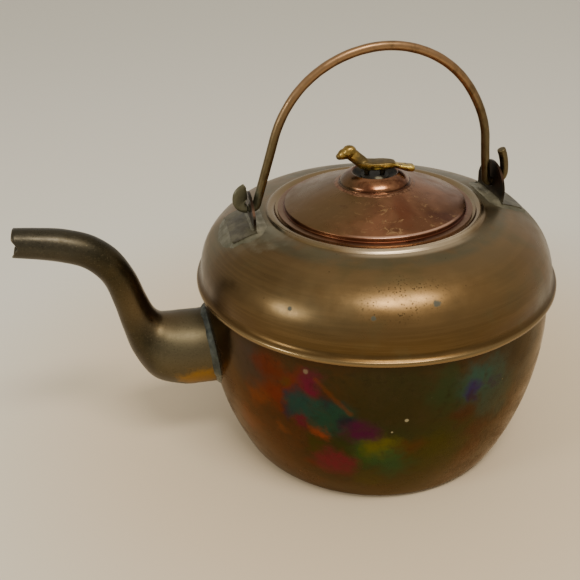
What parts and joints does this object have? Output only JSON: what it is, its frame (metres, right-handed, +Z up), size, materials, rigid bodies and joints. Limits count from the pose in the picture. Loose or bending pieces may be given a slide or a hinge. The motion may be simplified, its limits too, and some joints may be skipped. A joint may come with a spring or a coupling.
{
  "type": "copper kettle",
  "caption": "Squat round copper kettle with a curved soldered spout, a swinging rod bail on upright lugs and a lift-off lid with a bird-shaped brass knob.",
  "frame": {"origin": "centre of the flat underside, on the body's axis", "axes": "+Z up along the body's axis, -X towards the spout, the bail's hinge axis parallel to X"},
  "size_m": [0.3509, 0.2404, 0.27],
  "materials": {
    "bowl_copper": "polished copper with heat colours",
    "shoulder_copper": "satin copper, browned",
    "spout_copper": "satin copper, olive-brown",
    "lid_copper": "satin copper, pinkish",
    "knob_copper": "polished copper",
    "lug_copper": "dark copper",
    "rod_copper": "browned copper",
    "bird_brass": "cast brass, worn bright on the edges",
    "solder": "dull grey solder with green patina"
  },
  "bodies": {
    "kettle": {"lower_body": "bowl_copper", "upper_body": "shoulder_copper", "seam_solder": "solder", "spout": "spout_copper", "spout_solder": "solder", "front_lug": "lug_copper", "front_lug_solder": "solder", "rear_lug": "lug_copper", "rear_lug_solder": "solder"},
    "bail": {"bail_handle": "rod_copper"},
    "lid": {"lid": "lid_copper", "lid_skirt": "lid_copper", "lid_boss": "knob_copper", "boss_solder": "solder", "finial_bird": "bird_brass", "bird_solder": "solder"}
  },
  "joints": [
    {"name": "bail_swing", "type": "hinge", "parent": "kettle", "child": "bail", "pos_m": [0, 0, 0.174], "axis": [1, 0, 0], "range_deg": [-95, 95]},
    {"name": "lid_lift", "type": "slide", "parent": "kettle", "child": "lid", "axis": [0, 0, 1], "range_m": [0, 0.04]}
  ]
}
